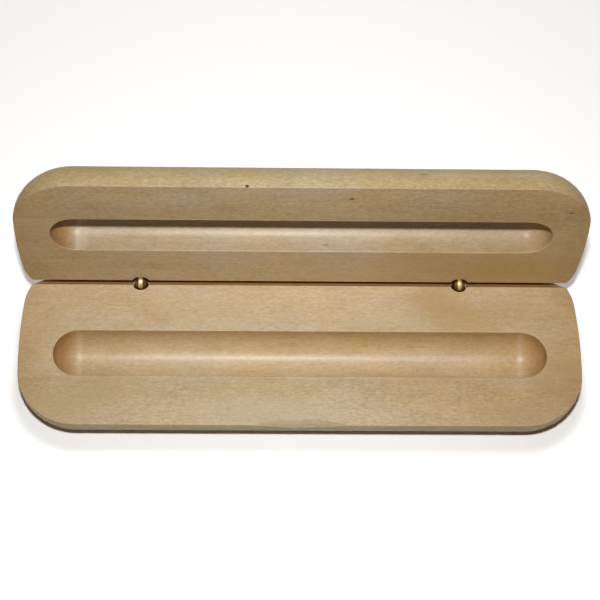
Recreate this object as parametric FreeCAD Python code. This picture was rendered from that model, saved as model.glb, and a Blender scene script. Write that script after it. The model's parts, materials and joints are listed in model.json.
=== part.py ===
"""Hinged wooden pen case: a base and a lid milled from solid maple, each with a round-bottomed pen groove,
joined at the back by two small brass barrel hinges.

Millimetres, +Z up, +X along the case to the right, +Y to the back where the hinges are.
The origin is the centre of the base's underside, and the lid stands open at the stop angle.
Every piece is drawn in the hinge frame, where the hinge axis is the X axis and the base lies below it and
reaches forward to -Y. A lid piece is the mirror image above the parting plane, swung open about the axis.
"""

import FreeCAD
import Part

import math
import os

from FreeCAD import Vector

# Outline of a half, seen from above, measured from the hinge axis
case_length = 178.0
face_reach = 50.5
back_reach = 8.0
front_corner_radius = 19.0
back_corner_radius = 17.0
end_bow_radius = 175.0

# Section of a half
half_thickness = 14.2
outer_edge_radius = 13.1
back_edge_radius = 8.0
face_edge_radius = 0.35
parting_gap = 0.2

# Bevels behind a small step in the faces, which let the lid open and stop it where their far edges meet
stop_angle = 94.0
stop_gap = 0.1
step_setback = 0.7
step_drop = 0.9

# Pen groove, cut with a ball-nosed cutter
groove_width = 16.0
groove_depth = 10.0
groove_length = 156.0
groove_setback = 25.6

# Thumb notch in the front edge of the base, cut with a large tilted drum
notch_width = 31.0
notch_on_face = 2.6
notch_on_wall = 1.4

# Barrel hinges
hinge_spacing = 103.0
barrel_diameter = 5.0
barrel_depth = 8.0
barrel_glue_gap = 0.05
barrel_end_chamfer = 0.4
hole_spare_depth = 0.3
mouth_relief = 0.3
mouth_depth = 2.8
barrel_shoulder_drop = 2.7
knuckle_diameter = 4.8
tongue_width = 1.3
fork_leaf_width = 0.9
leaf_side_gap = 0.12
pin_diameter = 1.3
pin_running_gap = 0.04
pin_seat_gap = 0.01

# Values that follow from the sizes above
half_length = case_length / 2
half_angle = math.radians(stop_angle / 2)
face_level = -parting_gap / 2
underside_level = face_level - half_thickness
case_depth = face_reach + back_reach
hinge_back = case_depth / 2 - back_reach
hinge_height = -underside_level
groove_radius = groove_width / 2
barrel_radius = barrel_diameter / 2
barrel_bottom = face_level - barrel_depth
hole_radius = barrel_radius + barrel_glue_gap
knuckle_radius = knuckle_diameter / 2
slot_width = tongue_width + 2 * leaf_side_gap
fork_width = slot_width + 2 * fork_leaf_width
pin_radius = pin_diameter / 2
hinge_places = {"left": -hinge_spacing / 2, "right": hinge_spacing / 2}
far = 2 * (case_length + case_depth)
same = 1e-4


def touching_centre(outer_centre, outer_radius, radius, y):
    """Centre of a circle at height y that touches a larger circle from inside, on its left."""
    drop = y - outer_centre.y
    return Vector(outer_centre.x - math.sqrt((outer_radius - radius) ** 2 - drop ** 2), y, 0)


def arc(centre, radius, start, end):
    """The shorter arc about a centre, through the point half way between its ends."""
    middle = centre + ((start - centre) + (end - centre)).normalize() * radius
    return Part.Arc(start, middle, end).toShape()


def half_outline():
    """Closed outline of a half at face level: straight front and back, bowed ends, round corners."""
    bow_centre = Vector(end_bow_radius - half_length, (back_reach - face_reach) / 2, face_level)
    front_centre = touching_centre(
        bow_centre, end_bow_radius, front_corner_radius, front_corner_radius - face_reach)
    back_centre = touching_centre(
        bow_centre, end_bow_radius, back_corner_radius, back_reach - back_corner_radius)
    for centre in (front_centre, back_centre):
        centre.z = face_level
    front_start = front_centre - Vector(0, front_corner_radius, 0)
    front_end = bow_centre + (front_centre - bow_centre).normalize() * end_bow_radius
    back_start = bow_centre + (back_centre - bow_centre).normalize() * end_bow_radius
    back_end = back_centre + Vector(0, back_corner_radius, 0)
    left = [
        arc(front_centre, front_corner_radius, front_start, front_end),
        arc(bow_centre, end_bow_radius, front_end, back_start),
        arc(back_centre, back_corner_radius, back_start, back_end),
    ]
    right = [edge.mirror(Vector(0, 0, 0), Vector(1, 0, 0)) for edge in left]
    straight = [
        Part.makeLine(point, Vector(-point.x, point.y, point.z))
        for point in (front_start, back_end)
    ]
    return Part.Wire(Part.__sortEdges__(left + straight + right))


def lies_at(edge, level):
    """Whether an edge lies wholly at one height."""
    return abs(edge.BoundBox.ZMin - level) < same and abs(edge.BoundBox.ZMax - level) < same


def edges_at(shape, level):
    """Edges that lie wholly at one height."""
    return [edge for edge in shape.Edges if lies_at(edge, level)]


def rounding(point):
    """How far the outer edge is rounded over: less along the straight back, which carries the open lid."""
    return back_edge_radius if abs(point.y - back_reach) < same else outer_edge_radius


def blank():
    """A half before its face is milled: the outline with its outer edge rounded over."""
    bench = FreeCAD.newDocument()
    plain = bench.addObject("Part::Feature", "plain")
    plain.Shape = Part.Face(half_outline()).extrude(Vector(0, 0, -half_thickness))
    rounded = bench.addObject("Part::Fillet", "rounded")
    rounded.Base = plain
    rounded.Edges = [
        (number, rounding(edge.valueAt(edge.FirstParameter)), rounding(edge.valueAt(edge.LastParameter)))
        for number, edge in enumerate(plain.Shape.Edges, 1)
        if lies_at(edge, underside_level)
    ]
    bench.recompute()
    return rounded.Shape


def bevel_far_edge():
    """Where the bevel leaves the rounded back, half a stop gap below the plane where bevels would meet."""
    along = Vector(0, math.cos(half_angle), -math.sin(half_angle))
    below = Vector(0, -math.sin(half_angle), -math.cos(half_angle))
    round_centre = Vector(0, back_reach - back_edge_radius, underside_level + back_edge_radius)
    middle = along.dot(round_centre)
    reach = middle + math.sqrt(back_edge_radius ** 2 + middle ** 2 - round_centre.Length ** 2)
    return along * reach + below * (stop_gap / 2)


def bevel_wedge(drop):
    """What a step of some depth and the bevel behind it take off."""
    near = Vector(0, -step_setback, face_level - drop)
    beyond = near + (bevel_far_edge() - near).normalize() * far
    above = Vector(0, 0, far)
    corners = [near, beyond, beyond + above, near + above]
    face = Part.Face(Part.makePolygon(corners + corners[:1]))
    return face.extrude(Vector(2 * far, 0, 0)).translated(Vector(-far, 0, 0))


def groove_cutter():
    """The path of the ball-nosed cutter: a round bottom with ball ends, and upright walls above."""
    reach = groove_length / 2 - groove_radius
    middle = Vector(0, -groove_setback, face_level - groove_depth + groove_radius)
    ends = [middle + Vector(side * reach, 0, 0) for side in (-1, 1)]
    bar = Part.makeCylinder(groove_radius, 2 * reach, ends[0], Vector(1, 0, 0))
    balls = [Part.makeSphere(groove_radius, end) for end in ends]
    shanks = [Part.makeCylinder(groove_radius, half_thickness, end) for end in ends]
    slot = Part.makeBox(2 * reach, groove_width, half_thickness, ends[0] - Vector(0, groove_radius, 0))
    return bar.fuse(balls + shanks + [slot]).removeSplitter()


def hinge_hole(x):
    """The drilled hole of one barrel, wider at its mouth."""
    hole_bottom = Vector(x, 0, barrel_bottom - hole_spare_depth)
    mouth_bottom = Vector(x, 0, face_level - mouth_depth)
    hole = Part.makeCylinder(hole_radius, half_thickness, hole_bottom)
    mouth = Part.makeCylinder(hole_radius + mouth_relief, half_thickness, mouth_bottom)
    return hole.fuse(mouth)


def milled_half():
    """A half with its bevel, pen groove, softened rims and hinge holes, in the place of the base."""
    half = blank().cut([bevel_wedge(step_drop), groove_cutter()])
    half = half.makeFillet(face_edge_radius, edges_at(half, face_level))
    return half.cut([hinge_hole(x) for x in hinge_places.values()])


def notch_cutter():
    """The drum that leaves the thumb notch, sunk in the front edge and tilted to meet face and wall."""
    tilt = math.atan2(notch_on_wall, notch_on_face)
    sunk = notch_on_face * math.sin(tilt)
    drum_radius = ((notch_width / 2) ** 2 + sunk ** 2) / (2 * sunk)
    outward = Vector(0, -math.sin(tilt), math.cos(tilt))
    along = Vector(0, math.cos(tilt), math.sin(tilt))
    axis_point = Vector(0, -face_reach, face_level) + outward * (drum_radius - sunk)
    return Part.makeCylinder(drum_radius, case_depth, axis_point - along * (case_depth / 2), along)


def leaf_slab(width):
    """Everything within a width about the middle of the hinge."""
    size = 4 * barrel_depth
    return Part.makeBox(width, size, size, Vector(-width / 2, -size / 2, -size / 2))


def round_bar(top):
    """The barrel's round section from its chamfered end up to a height, clear of the bevel."""
    bar = Part.makeCylinder(barrel_radius, top - barrel_bottom, Vector(0, 0, barrel_bottom))
    bar = bar.makeChamfer(barrel_end_chamfer, edges_at(bar, barrel_bottom))
    return bar.cut(bevel_wedge(0))


def leaf(slab):
    """A leaf of a barrel: the round section within a slab, up to the face, with a ball-shaped end."""
    stem = round_bar(face_level).common(slab)
    return stem.fuse(Part.makeSphere(knuckle_radius).common(slab))


def cross_bar(gap):
    """A bar along the hinge axis with the pin's radius, larger by a gap."""
    start = Vector(-barrel_diameter, 0, 0)
    return Part.makeCylinder(pin_radius + gap, 2 * barrel_diameter, start, Vector(1, 0, 0))


def forked_barrel():
    """The base's barrel: a shouldered body with two outer leaves."""
    body = round_bar(face_level - barrel_shoulder_drop)
    leaves = leaf(leaf_slab(fork_width).cut(leaf_slab(slot_width)))
    return body.fuse(leaves).cut(cross_bar(pin_seat_gap))


def tongued_barrel():
    """The lid's barrel, drawn in the place of the base's: a shouldered body with one middle leaf."""
    body = round_bar(face_level - barrel_shoulder_drop)
    return body.fuse(leaf(leaf_slab(tongue_width))).cut(cross_bar(pin_running_gap))


def hinge_pin():
    """The cross pin, its ends flush with the outer leaves."""
    return cross_bar(0).common(leaf_slab(fork_width))


def at(shape, x):
    """A hinge piece moved along the hinge axis."""
    return shape.translated(Vector(x, 0, 0))


def set_base(shape):
    """From the hinge frame to the place of the base."""
    return shape.translated(Vector(0, hinge_back, hinge_height))


def set_lid(shape):
    """Mirrored above the parting plane, swung up and back to the stop angle, then set in place."""
    closed = shape.mirror(Vector(0, 0, 0), Vector(0, 0, 1))
    return set_base(closed.rotated(Vector(0, 0, 0), Vector(1, 0, 0), -stop_angle))


def build():
    """Every piece of the case by its node name."""
    half = milled_half()
    pieces = {"base_half": set_base(half.cut(notch_cutter())), "lid_half": set_lid(half)}
    for side, x in hinge_places.items():
        pieces[side + "_base_barrel"] = set_base(at(forked_barrel(), x))
        pieces[side + "_lid_barrel"] = set_lid(at(tongued_barrel(), x))
        pieces[side + "_hinge_pin"] = set_base(at(hinge_pin(), x))
    return pieces


os.makedirs("parts", exist_ok=True)
for name, shape in build().items():
    shape.exportStep(f"parts/{name}.step")
    print(f"{name}: {len(shape.Solids)} solid, valid {shape.isValid()}, {shape.Volume:.1f} mm3")
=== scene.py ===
# %% [markdown]
# A wooden pen case, dressed around its CAD model.
# The case is two milled maple halves on two small brass barrel hinges, and it stands open.
# Its shapes are finished in CAD, so nothing is added or moved here. Every node keeps its own mesh and gets
# its finish, and then a camera, a floor, a room and two lamps are set up around the case.

# %% Load the frame
import json
import math

import bpy
import numpy as np
from mathutils import Matrix, Vector

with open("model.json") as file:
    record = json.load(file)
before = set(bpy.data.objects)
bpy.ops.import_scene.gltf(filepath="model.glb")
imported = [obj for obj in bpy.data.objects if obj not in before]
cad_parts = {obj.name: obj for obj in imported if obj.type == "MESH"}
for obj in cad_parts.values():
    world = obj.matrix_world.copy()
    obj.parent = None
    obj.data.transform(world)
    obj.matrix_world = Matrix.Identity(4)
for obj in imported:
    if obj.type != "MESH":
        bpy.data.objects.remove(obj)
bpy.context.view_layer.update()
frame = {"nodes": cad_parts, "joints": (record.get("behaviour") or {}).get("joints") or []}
hinge = next(joint for joint in frame["joints"] if joint["name"] == "lid_hinge")
HINGE = np.array(hinge["pos_m"])
OPEN_ANGLE = math.radians(hinge["range_deg"][1])
print("nodes:", sorted(frame["nodes"]), "hinge axis at", HINGE)

# %% [markdown]
# Shader maths reads best as plain expressions.
# It could be wired node by node, but a formula such as `1 - mask * 0.3` is easier to read and to change.
# So a small class wraps a node's output, and each operator on it adds one Math node.

# %% A socket that can be used in expressions


class Signal:
    """One output socket of a node tree, with arithmetic."""

    def __init__(self, tree, socket=None):
        self.tree = tree
        self.socket = socket

    def node(self, kind, settings=None, inputs=None, output=0):
        """Any node: its type, its settings, its inputs by name or number, and which output to hand back."""
        made = self.tree.nodes.new(kind)
        for key, value in (settings or {}).items():
            setattr(made, key, value)
        for key, value in (inputs or {}).items():
            if isinstance(value, Signal):
                self.tree.links.new(value.socket, made.inputs[key])
            else:
                made.inputs[key].default_value = value
        return Signal(self.tree, made.outputs[output])

    def math(self, operation, first, second=0.0):
        """A Math node on two values."""
        return self.node("ShaderNodeMath", {"operation": operation}, {0: first, 1: second})

    def __add__(self, other):
        return self.math("ADD", self, other)

    def __sub__(self, other):
        return self.math("SUBTRACT", self, other)

    def __rsub__(self, other):
        return self.math("SUBTRACT", other, self)

    def __mul__(self, other):
        return self.math("MULTIPLY", self, other)

    def __truediv__(self, other):
        return self.math("DIVIDE", self, other)

    __radd__ = __add__
    __rmul__ = __mul__

    def size(self):
        """The absolute value."""
        return self.math("ABSOLUTE", self)

    def root(self):
        """The square root."""
        return self.math("SQRT", self)

    def at_least(self, least):
        """The value, or a least value where it is lower."""
        return self.math("MAXIMUM", self, least)

    def at_most(self, most):
        """The value, or a greatest value where it is higher."""
        return self.math("MINIMUM", self, most)

    def ease(self, low, high, start=0.0, end=1.0):
        """A smooth step from start to end as the value goes from low to high."""
        return self.node(
            "ShaderNodeMapRange", {"interpolation_type": "SMOOTHSTEP"},
            {"Value": self, "From Min": low, "From Max": high, "To Min": start, "To Max": end})

    def band(self, start, full, fade, end):
        """A smooth step from 0 to 1 between start and full, and back to 0 between fade and end."""
        return self.ease(start, full) * self.ease(fade, end, 1.0, 0.0)

    def blend(self, first, second, kind="MIX"):
        """A colour between two, by this value."""
        return self.node(
            "ShaderNodeMix", {"data_type": "RGBA", "blend_type": kind},
            {"Factor": self, 6: first, 7: second}, output=2)

    def stretched(self, scale, shift):
        """A vector scaled and moved."""
        return self.node("ShaderNodeMapping", {}, {"Vector": self, "Location": shift, "Scale": scale})

    def along(self, axis):
        """One component of a vector."""
        return self.node("ShaderNodeSeparateXYZ", {}, {"Vector": self}, axis)

    def length(self):
        """The length of a vector."""
        return self.node("ShaderNodeVectorMath", {"operation": "LENGTH"}, {0: self}, "Value")

    def noise(self, octaves, rough=0.5, scale=1.0):
        """Fractal noise at the vector."""
        return self.node(
            "ShaderNodeTexNoise", {},
            {"Vector": self, "Scale": scale, "Detail": octaves, "Roughness": rough})


print("a signal can:", [name for name in vars(Signal) if not name.startswith("_")])

# %% [markdown]
# Every finish starts from the Principled BSDF, Blender's all-round surface shader.
# The patterns could sit on an unwrapped UV map, but that has seams, and the grain would break there.
# Object coordinates are the case's own metres here, so a size on the real object is the same number in the
# shader, and the grain runs on through the wood as it grew.

# %% A new material


def new_material(name):
    """An empty material with a surface shader, and its object coordinates."""
    material = bpy.data.materials.new(name)
    material.use_nodes = True
    tree = material.node_tree
    place = Signal(tree).node("ShaderNodeTexCoord", output="Object")
    return material, tree.nodes["Principled BSDF"], place


def feed(shader, **values):
    """Links or sets the surface shader's sockets, with spaces written as underscores."""
    for key, value in values.items():
        socket = shader.inputs[key.replace("_", " ")]
        if isinstance(value, Signal):
            value.tree.links.new(value.socket, socket)
        else:
            socket.default_value = value


def dress(node_name, finish):
    """Gives a CAD node its finish in place of its plain colour."""
    slots = frame["nodes"][node_name].data.materials
    slots.clear()
    slots.append(finish)


print("materials from CAD:", [material.name for material in bpy.data.materials])

# %% [markdown]
# Both halves are milled from the same maple board, so one recipe dresses both.
# The patterns could be laid out in the room, but then the open lid would have its grain in another direction.
# So each half gets coordinates of its own: along the case, how far in front of the hinge line, and how deep
# under the face. The lid is the base's mirror image, swung open, and one Mapping node undoes both.
# The pen groove was cut by a ball-nosed cutter: it is all that lies within the cutter's radius of its path.

# %% A half's own coordinates
GROOVE_REACH, GROOVE_DEPTH = 0.0256, 0.0021
GROOVE_RADIUS, GROOVE_END = 0.008, 0.070
GROOVE_RIM = GROOVE_RADIUS + 0.0002, GROOVE_RADIUS + 0.0004


class Half:
    """A point of a half: its x along it, its reach in front of the hinge line, its depth under the face."""

    def __init__(self, place, opened, mirror):
        self.place = place.node(
            "ShaderNodeMapping", {"vector_type": "TEXTURE"},
            {"Vector": place, "Location": HINGE, "Rotation": (opened, 0, 0), "Scale": (1, 1, mirror)})
        self.x = self.place.along("X")
        self.reach = 0 - self.place.along("Y")
        self.depth = 0 - self.place.along("Z")
        self.groove = self.near_cutter()

    def near_cutter(self):
        """1 in the groove: the distance to the cutter's path is the root of the sum of three squares."""
        beyond = (self.x.size() - GROOVE_END).at_least(0.0)
        side = self.reach - GROOVE_REACH
        down = self.depth - GROOVE_DEPTH
        distance = (beyond * beyond + side * side + down * down).root()
        return distance.ease(*GROOVE_RIM, 1.0, 0.0)


print("groove:", 2 * GROOVE_RADIUS, "wide,", 2 * (GROOVE_END + GROOVE_RADIUS), "long")

# %% [markdown]
# Maple is a quiet wood. Seen close, it is a sum of layers: soft clouds of cream and straw, a finer mottle,
# long pale lines, short fibres and flecks along the board, and fine dark ticks where the pores are cut.
# A picture of wood would look sharper, but it would repeat and would not run on through the groove.
# So there is one noise texture per layer, stretched along the grain. Most layers shift the tone between straw
# and cream, and the flecks do so more towards the front edge. Honey and ticks have colours of their own.
# The cutter's waves lie across the grain and are kept for the bump.

# %% The wood as it grew
CREAM, STRAW = (0.67, 0.55, 0.395, 1), (0.465, 0.365, 0.225, 1)
HONEY, TICK = (1.0, 0.96, 0.84, 1), (0.36, 0.24, 0.11, 1)
# Cells per metre along and across the grain, a place in the noise, octaves, roughness
LAYERS = {
    "clouds": ((55, 95), (0, 0, 0), 1.0, 0.5),
    "mottle": ((120, 260), (4, 0, 1), 2.0, 0.75),
    "stipple": ((430, 700), (2, 5, 0), 1.0, 0.7),
    "lines": ((18, 800), (0, 7, 3), 1.0, 0.5),
    "fibres": ((110, 2600), (0, 0, 0), 2.0, 0.6),
    "flecks": ((600, 1800), (3, 1, 6), 2.0, 0.8),
    "ticks": ((700, 4200), (1, 1, 1), 0.0, 0.5),
    "honey": ((38, 80), (9, 2, 5), 2.0, 0.5),
    "waves": ((210, 60), (0, 3, 0), 1.0, 0.5)}
TONE_SHIFTS = {"clouds": 0.55, "mottle": 0.60, "stipple": 0.50, "lines": 0.25, "fibres": 0.50}
FLECK_FRONT, FLECK_SHIFTS = (0.030, 0.042), (1.4, 2.3)
MIDDLE, HONEY_RANGE, TICK_RANGE, TICK_STRENGTH = 0.5, (0.35, 0.65), (0.66, 0.76), 0.25


def grain_layers(board):
    """The noise of every layer, by name."""
    layers = {}
    for name, ((along, across), place, octaves, rough) in LAYERS.items():
        layers[name] = board.stretched((along, across, across), place).noise(octaves, rough)
    return layers


def grown_colour(layers, half, tone):
    """Straw to cream by a tone, shifted by how far each layer is from its middle, then honey and ticks."""
    pale = tone + (layers["flecks"] - MIDDLE) * half.reach.ease(*FLECK_FRONT, *FLECK_SHIFTS)
    for name, shift in TONE_SHIFTS.items():
        pale = pale + (layers[name] - MIDDLE) * shift
    colour = pale.blend(STRAW, CREAM)
    colour = layers["honey"].ease(*HONEY_RANGE).blend(colour, HONEY, "MULTIPLY")
    return (layers["ticks"].ease(*TICK_RANGE) * TICK_STRENGTH).blend(colour, TICK)


print("layers of grain:", list(LAYERS))

# %% [markdown]
# The groove shows how it was cut. At its ball ends the cutter met end grain, which drinks the finish and
# turns orange. In the base the wall towards the hinges is browner, a painted shade for warm light bounced in
# the groove. The face is darker between the groove and the front edge, a painted shade for the weaker light
# there, and the thumb notch is darker too. The bevels behind the faces carry painted shade by the hinge
# line, where the gap between the halves is dark. Each could be painted by hand on a picture of the surface.
# A mask worked out from the half's own coordinates does the same, and it stays sharp at any size.

# %% What the cutter left, and painted shade
# Limits in metres: where a mask starts and is full, and for a band also where it fades and ends
UNDER_FACE = 0.0004, 0.0012
# Painted shade on the base groove's wall towards the hinges
GROOVE_WALL_SHADE = 0.003, 0.0078
# Painted shade on the face between the groove and the front edge, for the weaker light there
FRONT_STRIP_LIMITS = 0.0335, 0.0350, 0.038, 0.047
NOTCH_DEPTHS, NOTCH_REACH = (0.00012, 0.0003, 0.0016, 0.0022), (0.0470, 0.0476, 0.05038, 0.05046)
NOTCH_SIDES, NOTCH_LIP, LIP_SHARE = (0.0150, 0.0160), (0.0003, 0.0014), 0.72
# The bevel mask paints shade into the gap between the halves by the hinge line
BEVEL_REACH, BEVEL_DEPTH, BEVEL_SLOPE = 0.0007, 0.001, 1.07
BEVEL_SKIN, BEVEL_STRIP = (-0.0006, -0.0002), (0.0001, 0.0004, 0.0017, 0.0052)
# Painted shade towards both ends, where the lamp's light falls off: where it starts and is full, and its
# share
RIGHT_END, RIGHT_SHARE, LEFT_END, LEFT_SHARE = (0.0, 0.08), 0.69, (0.02, 0.085), 0.4
BALL_END, HALFWAY = (0.0, 0.75), (-0.01, 0.01)
OUTER_END, OUTER_SHARE = (0.078, 0.089), 0.25


def in_groove(half):
    """1 in the pen groove."""
    return half.groove


def groove_wall_painted_shade(half):
    """Painted shade: 1 high on the groove's wall towards the hinges, for warm light bounced in the groove."""
    return (GROOVE_REACH - half.reach).ease(*GROOVE_WALL_SHADE) * half.groove


def on_outside(half):
    """1 on the rounded outside: under the face, and not in the groove."""
    return half.depth.ease(*UNDER_FACE) * (1 - half.groove)


def on_face(half):
    """1 on the flat face: neither under it nor in the groove."""
    return (1 - half.depth.ease(*UNDER_FACE)) * (1 - half.groove)


def front_strip_painted_shade(half):
    """Painted shade: 1 on the face just in front of the groove, clearing towards the front edge."""
    return half.reach.band(*FRONT_STRIP_LIMITS) * (1 - half.depth.ease(*UNDER_FACE))


def in_notch(half):
    """1 on the facet of the thumb notch: just under the face, in the middle of the front edge."""
    under = half.depth.band(*NOTCH_DEPTHS) * half.depth.ease(*NOTCH_LIP, LIP_SHARE, 1.0)
    return under * half.reach.band(*NOTCH_REACH) * half.x.size().ease(*NOTCH_SIDES, 1.0, 0.0)


def bevel_painted_shade(half):
    """Painted shade for the dark gap between the halves: 1 on the first millimetres of the bevel, no deeper
    than its slope, and behind the small step.
    """
    behind = BEVEL_REACH - half.reach
    above = BEVEL_DEPTH + behind * BEVEL_SLOPE - half.depth
    return above.ease(*BEVEL_SKIN) * behind.band(*BEVEL_STRIP)


def ends_painted_shade(half):
    """Painted shade: grows towards both ends of the board, more to the right, where the lamp's light falls
    off.
    """
    return half.x.ease(*RIGHT_END) * RIGHT_SHARE + (0 - half.x).ease(*LEFT_END) * LEFT_SHARE


def end_grain(half, left, right):
    """How much end grain shows: in each ball end of the groove by its own share, and at the outer ends."""
    ball = ((half.x.size() - GROOVE_END) / GROOVE_RADIUS).ease(*BALL_END) * half.groove
    outer = half.x.size().ease(*OUTER_END) * (1 - half.groove)
    return ball * half.x.ease(*HALFWAY, left, right) + outer * OUTER_SHARE


# The strip in this print is a painted shade
print("notch:", 2 * NOTCH_SIDES[1], "wide, handled strip from", FRONT_STRIP_LIMITS[0], "to", FRONT_STRIP_LIMITS[-1])

# %% [markdown]
# A pin knot is a dark dot, and a patch is the same with a wider reach and a weaker tint.
# Both are ovals here: the half's coordinates are stretched until the oval is a ball, and the distance to its
# middle gives the mask.
# The wood has a thin satin finish. One roughness for all would do, but the real finish lies thicker in the
# groove. So a coat over the colour gives the long highlights there, and bump from the grain and from the
# cutter's faint waves breaks them up.

# %% The maple recipe
# The second colour here is a painted highlight for the lines where the cutter stood still
END_GRAIN, PAINTED_DWELL_HIGHLIGHT = (0.74, 0.52, 0.30, 1), (0.80, 0.70, 0.56, 1)
MILLIMETRES, SPOT_FADE, MARK_FADE = 1000, (0.2, 1.0), (0.0002, 0.0016)
GRAIN_SHARES = {"fibres": 0.5, "stipple": 0.3, "ticks": 0.2}
BUMP_HEIGHT, GRAIN_BUMP, WAVE_BUMP = 0.0001, 0.12, 0.5
DULL_RANGE, WOOD_DULL = (0.3, 0.7), (0.44, 0.54)
WOOD_IOR, WOOD_GLINT, FACE_COAT, COAT_DULL = 1.45, 0.12, 0.1, 0.36


def near_spot(half, spot, reach):
    """1 in the middle of an oval spot, falling to 0 at its edge. Place and half sizes are in millimetres."""
    shift = [-place / size for place, size in zip(spot, reach)]
    ball = half.place.stretched([MILLIMETRES / size for size in reach], shift)
    return ball.length().ease(*SPOT_FADE, 1.0, 0.0)


def wood_bump(layers, groove):
    """The grain's fine relief, and on top of it the cutter's waves in the groove."""
    grain = sum(layers[name] * share for name, share in GRAIN_SHARES.items())
    waves = layers["waves"] * groove
    relief = grain.node(
        "ShaderNodeBump", {}, {"Strength": GRAIN_BUMP, "Distance": BUMP_HEIGHT, "Height": grain})
    return waves.node(
        "ShaderNodeBump", {},
        {"Strength": WAVE_BUMP, "Distance": BUMP_HEIGHT, "Height": waves, "Normal": relief})


def maple(name, opened, mirror, start, tone, tints, drinks, gloss, marks, spots):
    """Pale maple: the wood as it grew, then end grain, tints with painted shade, lines of painted highlight,
    then knots and patches.
    """
    material, shader, place = new_material(name)
    half = Half(place, opened, mirror)
    layers = grain_layers(half.place.stretched((1, 1, 1), start))
    colour = grown_colour(layers, half, tone)
    colour = end_grain(half, *drinks).blend(colour, END_GRAIN, "MULTIPLY")
    for area, tint in tints:
        colour = area(half).blend(colour, tint, "MULTIPLY")
    # Each mark is a pale line of painted highlight on the ridge where the cutter stood still
    for mark, strength in marks:
        line = (half.x - mark).size().ease(*MARK_FADE, strength, 0.0) * half.groove
        colour = line.blend(colour, PAINTED_DWELL_HIGHLIGHT)
    for spot, reach, tint, strength in spots:
        colour = (near_spot(half, spot, reach) * strength).blend(colour, tint)
    feed(shader, Base_Color=colour, Roughness=layers["mottle"].ease(*DULL_RANGE, *WOOD_DULL),
         Normal=wood_bump(layers, half.groove), IOR=WOOD_IOR, Specular_IOR_Level=WOOD_GLINT,
         Coat_Weight=half.groove.ease(0.0, 1.0, FACE_COAT, gloss), Coat_Roughness=COAT_DULL)
    return material


print("bump height:", BUMP_HEIGHT, "coat outside the groove:", FACE_COAT)

# %% [markdown]
# The two halves differ in their wood, and each gets painted shade of its own.
# The base has a honey-coloured patch by the right hinge and duller ones along its front and at its ends, and
# its notch is darker. The lid is a little darker on its face, a painted shade for its upright face, greyer in
# its groove and yellower outside, with a few pin knots and a warm patch low down on the right.
# Where the cutter stood still in a groove, a pale line of painted highlight marks the ridge that it left.
# All of this could be left to chance, but a list of places lets each one lie where the real case has it.

# %% The two halves
KNOT = (0.07, 0.028, 0.010, 1)
SHARED_TINTS = [
    # Painted shade: the face darker between the groove and the front edge
    (front_strip_painted_shade, (0.91, 0.90, 0.86, 1)),
    # Painted shade: the bevels by the hinge line, browner where the gap between the halves is dark
    (bevel_painted_shade, (0.94, 0.66, 0.38, 1)),
    # Painted shade: darker and warmer towards both ends, more to the right
    (ends_painted_shade, (0.90, 0.81, 0.64, 1))]
BASE_TINTS = [
    # Painted shade: the whole base groove a little warmer, for light bounced inside it
    (in_groove, (0.955, 0.94, 0.895, 1)),
    # Painted shade: the base groove's wall towards the hinges, browner for warm light bounced in the groove
    (groove_wall_painted_shade, (1.0, 0.90, 0.75, 1)),
    (in_notch, (0.63, 0.57, 0.46, 1))]
LID_TINTS = [
    (in_groove, (0.88, 0.875, 0.90, 1)),
    (on_outside, (1.0, 1.0, 0.88, 1)),
    # Painted shade: the lid's face a little darker
    (on_face, (0.96, 0.93, 0.88, 1))]
# Middle and half sizes of each spot in millimetres, its colour and its strength
BASE_SPOTS = [
    ((44, -6.5, -0.1), (13, 9, 3), (0.46, 0.29, 0.12, 1), 0.6),
    ((50, -12.5, -0.1), (14, 9, 3), (0.46, 0.30, 0.12, 1), 0.5),
    ((-64, -39.5, -0.1), (17, 6, 3), (0.48, 0.37, 0.18, 1), 0.5),
    ((-14, -45.5, -0.1), (38, 9, 3), (0.58, 0.495, 0.365, 1), 0.45),
    ((82, -35, -0.1), (14, 13, 3), (0.42, 0.29, 0.13, 1), 0.5),
    ((-76, -46, -0.1), (20, 9, 3), (0.46, 0.35, 0.18, 1), 0.55),
    ((72, -47, -0.1), (24, 7, 3), (0.43, 0.31, 0.16, 1), 0.5)]
LID_SPOTS = [
    ((14.5, -45.1, -0.1), (1.0, 0.65, 0.8), KNOT, 1.0),
    ((14.2, -45.1, -0.1), (2.8, 0.45, 0.8), KNOT, 0.3),
    ((81.8, -38.9, -0.1), (0.9, 0.6, 0.8), KNOT, 0.9),
    ((58, -9, -0.1), (50, 14, 3), (0.50, 0.32, 0.11, 1), 0.55),
    ((-36.7, -41.0, -0.1), (2.0, 0.5, 0.8), KNOT, 0.35),
    ((-17.0, -50.5, -0.5), (0.9, 0.8, 0.8), KNOT, 1.0),
    ((36.0, -49.4, -6.3), (2.4, 0.8, 0.6), KNOT, 0.5),
    ((7.7, -17.6, -2.7), (1.3, 0.8, 0.6), KNOT, 0.4),
    ((52.8, -12.0, -0.1), (1.2, 0.4, 0.6), KNOT, 0.35)]
base_maple = maple(
    "base_maple", opened=0, mirror=1, start=(0, 0, 0), tone=0.5, tints=BASE_TINTS + SHARED_TINTS,
    drinks=(0.85, 0.6), gloss=0.42, marks=[(-0.0706, 0.14), (0.0708, 0.16)], spots=BASE_SPOTS)
# The lid's lower tone, with its face tint, is a painted shade for its upright face
lid_maple = maple(
    "lid_maple", opened=-OPEN_ANGLE, mirror=-1, start=(0.31, 0.12, 0.05), tone=0.44,
    tints=LID_TINTS + SHARED_TINTS, drinks=(0.85, 0.2), gloss=0.37,
    marks=[(-0.0702, 0.34), (-0.0684, 0.2)], spots=LID_SPOTS)
dress("base_half", base_maple)
dress("lid_half", lid_maple)
print("maple nodes:", {finish.name: len(finish.node_tree.nodes) for finish in (base_maple, lid_maple)})

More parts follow.
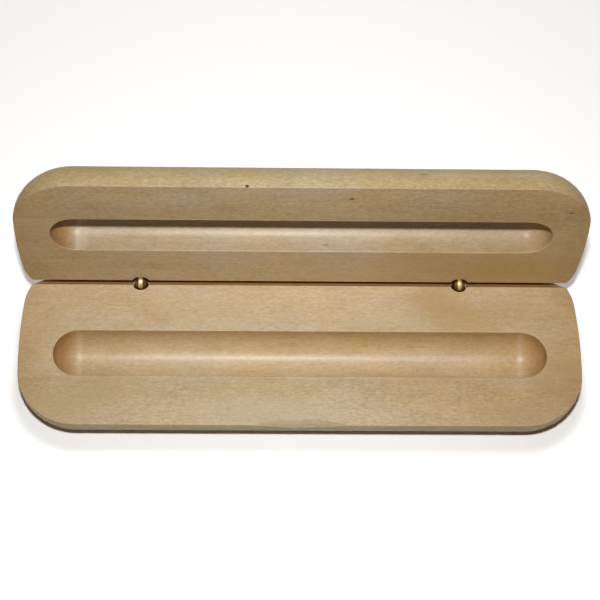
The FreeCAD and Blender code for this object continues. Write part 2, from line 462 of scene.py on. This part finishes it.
# %% [markdown]
# The hinges are small turned brass barrels, glued into drilled holes.
# Down in the holes the brass is dark brown, partly browned and partly painted shade for the dark holes and
# the dark room that the metal mirrors, and the lid's middle leaf is rubbed bright, as it turns against the
# others. Colour and roughness could have a noise each, but tarnish is both darker and duller than clean
# metal. So one noise sets the two together.

# %% Brass
TARNISH_CELLS, TARNISH_OCTAVES, TARNISH_RANGE = 900.0, 3.0, (0.35, 0.65)


def brass(name, clean, tarnished, dull):
    """Turned brass, between clean and tarnished by one noise."""
    material, shader, place = new_material(name)
    age = place.noise(TARNISH_OCTAVES, scale=TARNISH_CELLS)
    feed(shader, Base_Color=age.ease(*TARNISH_RANGE).blend(clean, tarnished), Metallic=1.0,
         Roughness=age.ease(*DULL_RANGE, *dull))
    return material


rubbed_brass = brass("rubbed_brass", (0.56, 0.45, 0.24, 1), (0.40, 0.29, 0.12, 1), (0.36, 0.48))
# Browned brass with painted shade: the dark holes and the dark room it mirrors are painted into its colour
browned_shaded_brass = brass("browned_shaded_brass", (0.17, 0.095, 0.035, 1), (0.10, 0.05, 0.016, 1), (0.34, 0.50))
for side in ("left", "right"):
    dress(f"{side}_lid_barrel", rubbed_brass)
    dress(f"{side}_base_barrel", browned_shaded_brass)
    dress(f"{side}_hinge_pin", browned_shaded_brass)
print("materials:", [material.name for material in bpy.data.materials])

# %% [markdown]
# The camera stands where the photo was taken from: in front, well above, a little to the left and rolled.
# It could be placed by coordinates and aimed by a constraint. A distance and angles from the hinge line are
# easier to tune, and they give the camera's three directions straight away, which go into its matrix.

# %% Camera
DISTANCE, AZIMUTH, ELEVATION, ROLL = 0.5132, -2.80, 60.44, 2.80
SIDE_SHIFT, UP_SHIFT, FOCAL_PIXELS = -0.0001, -0.00542, 1585.2
PICTURE_PIXELS, SENSOR_MM = 600, 36.0
NEAREST, FARTHEST = 0.01, 10


def camera_axes(azimuth, elevation, roll):
    """The right, up and backward directions of a camera that looks down at the case."""
    turn, lift, lean = (math.radians(angle) for angle in (azimuth, elevation, roll))
    back = np.array([math.sin(turn) * math.cos(lift), -math.cos(turn) * math.cos(lift), math.sin(lift)])
    right = np.array([math.cos(turn), math.sin(turn), 0])
    up = np.cross(back, right)
    return math.cos(lean) * right + math.sin(lean) * up, math.cos(lean) * up - math.sin(lean) * right, back


right, up, back = camera_axes(AZIMUTH, ELEVATION, ROLL)
standpoint = HINGE + DISTANCE * back + SIDE_SHIFT * right + UP_SHIFT * up
lens = bpy.data.cameras.new("camera")
lens.sensor_width = SENSOR_MM
lens.lens = FOCAL_PIXELS / PICTURE_PIXELS * SENSOR_MM
lens.clip_start = NEAREST
lens.clip_end = FARTHEST
camera = bpy.data.objects.new("camera", lens)
camera_rows = np.vstack([np.column_stack([right, up, back, standpoint]), [0, 0, 0, 1]])
camera.matrix_world = Matrix(camera_rows.tolist())
bpy.context.collection.objects.link(camera)
bpy.context.scene.camera = camera
print("camera at", standpoint.round(3))

# %% [markdown]
# The floor is plain and pale, and white to the camera.
# More light would turn it white too, but would also bleach the wood. So a light path test lets camera and
# mirror rays see it lighter, while the light that it throws back onto the case stays low.
# The extra white fades out close to the case, so that the thin dark shadow under its round edge is kept.

# %% Floor
FLOOR_HALF = 2.0
FLOOR_SEEN, FLOOR_BOUNCE = (1.0, 1.0, 1.0, 1), (0.38, 0.38, 0.38, 1)
NEAR_FADE, NEAR_GLOW = (0.001, 0.006), 0.35
FAR_FADE, FAR_GLOW = (0.08, 0.5), 0.95
CORE_X, CORE_Y, CORNER_RADIUS = 0.070, 0.010, 0.019
BLACK, WHITE = (0, 0, 0, 1), (1, 1, 1, 1)


def seen_directly(tree):
    """1 for camera, mirror and glass rays, 0 for the light that bounces."""
    rays = [Signal(tree).node("ShaderNodeLightPath", output=f"Is {ray} Ray")
            for ray in ("Camera", "Glossy", "Transmission")]
    return (rays[0] + rays[1] + rays[2]).at_most(1.0)


def beside_case(place):
    """How far a point of the floor is from the case's foot, nearly a rectangle with round corners."""
    across = (place.along("X").size() - CORE_X).at_least(0.0)
    along = (place.along("Y").size() - CORE_Y).at_least(0.0)
    return (across * across + along * along).root() - CORNER_RADIUS


corners = np.array([[-1, -1, 0], [1, -1, 0], [1, 1, 0], [-1, 1, 0]]) * FLOOR_HALF
floor_mesh = bpy.data.meshes.new("floor")
floor_mesh.from_pydata(corners.tolist(), [], [(0, 1, 2, 3)])
floor = bpy.data.objects.new("floor", floor_mesh)
bpy.context.collection.objects.link(floor)
floor_white, floor_shader, floor_place = new_material("floor_white")
seen = seen_directly(floor_white.node_tree)
away = beside_case(floor_place)
glow = seen * (away.ease(*NEAR_FADE) * NEAR_GLOW + away.ease(*FAR_FADE) * (FAR_GLOW - NEAR_GLOW))
feed(floor_shader, Base_Color=seen.blend(FLOOR_BOUNCE, FLOOR_SEEN), Emission_Color=glow.blend(BLACK, WHITE),
     Emission_Strength=1.0, Roughness=1.0, Specular_IOR_Level=0.0)
floor_mesh.materials.append(floor_white)
print("floor:", 2 * FLOOR_HALF, "m wide, with", len(floor_white.node_tree.nodes), "nodes in its material")

# %% [markdown]
# The room is white where the camera or a mirror sees it, and gives only a faint warm fill as light.
# A brighter room would be simpler, but it would fill the grooves' shadows, which show how deep they are.

# %% Room
FILL = (0.056, 0.030, 0.012, 1)
world = bpy.data.worlds.new("studio")
world.use_nodes = True
sky = world.node_tree.nodes["Background"]
room = seen_directly(world.node_tree).blend(FILL, WHITE)
world.node_tree.links.new(room.socket, sky.inputs["Color"])
bpy.context.scene.world = world
print("room:", world.name, "with a fill of", FILL[:3])

# %% [markdown]
# One small lamp stands just above the camera, so that the rims throw short crisp shadows into the grooves.
# A sun lamp would light the case evenly. This one is near and its light is gathered a little, so it falls off
# towards the ends of the case as a small flash does.
# A second, broader lamp stands low behind and is weaker on the case. The open lid keeps its light off the
# inside, and it lifts the back of the case, which would be nearly black from behind.

# %% Lamps


def disk_lamp(name, azimuth, elevation, distance, size, power, spread):
    """A round lamp at some angles and distance from the hinge line, turned towards it."""
    _, _, outward = camera_axes(azimuth, elevation, 0)
    lamp = bpy.data.lights.new(name, "AREA")
    lamp.shape = "DISK"
    lamp.size = size
    lamp.energy = power
    lamp.spread = math.radians(spread)
    stand = bpy.data.objects.new(name, lamp)
    stand.location = HINGE + distance * outward
    stand.rotation_mode = "QUATERNION"
    stand.rotation_quaternion = Vector(outward).to_track_quat("Z", "Y")
    bpy.context.collection.objects.link(stand)
    print(name, "lamp at", [round(value, 3) for value in stand.location])


disk_lamp("key", azimuth=-4.0, elevation=67.8, distance=0.56, size=0.03, power=0.775, spread=100)
disk_lamp("back", azimuth=165.0, elevation=9.0, distance=0.9, size=0.25, power=0.8, spread=180)
bpy.context.scene.view_settings.view_transform = "Standard"

# %% [markdown] The looks leave the case's size as it is.
